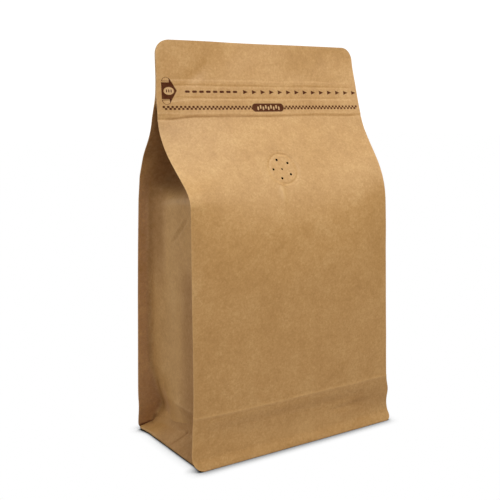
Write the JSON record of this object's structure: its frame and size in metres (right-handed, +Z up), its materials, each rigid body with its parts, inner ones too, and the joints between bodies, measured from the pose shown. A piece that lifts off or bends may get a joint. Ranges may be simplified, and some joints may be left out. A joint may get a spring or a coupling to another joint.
{
  "type": "coffee bag",
  "caption": "Shut, filled kraft paper coffee bag that stands on a flat base, with folded side gussets, sealed fins, a zipper and tear strip at the top and a round degassing valve in front.",
  "frame": {"origin": "centre of the base on the floor, under the middle of the bag's outline", "axes": "+Z up, +X to the right seen from the front, +Y from the printed front towards the back"},
  "size_m": [0.1438, 0.0718, 0.2364],
  "materials": {
    "kraft_paper": "matte",
    "valve_paper": "matte"
  },
  "bodies": {
    "root": {"bag": "kraft_paper", "valve": "valve_paper"}
  },
  "joints": []
}
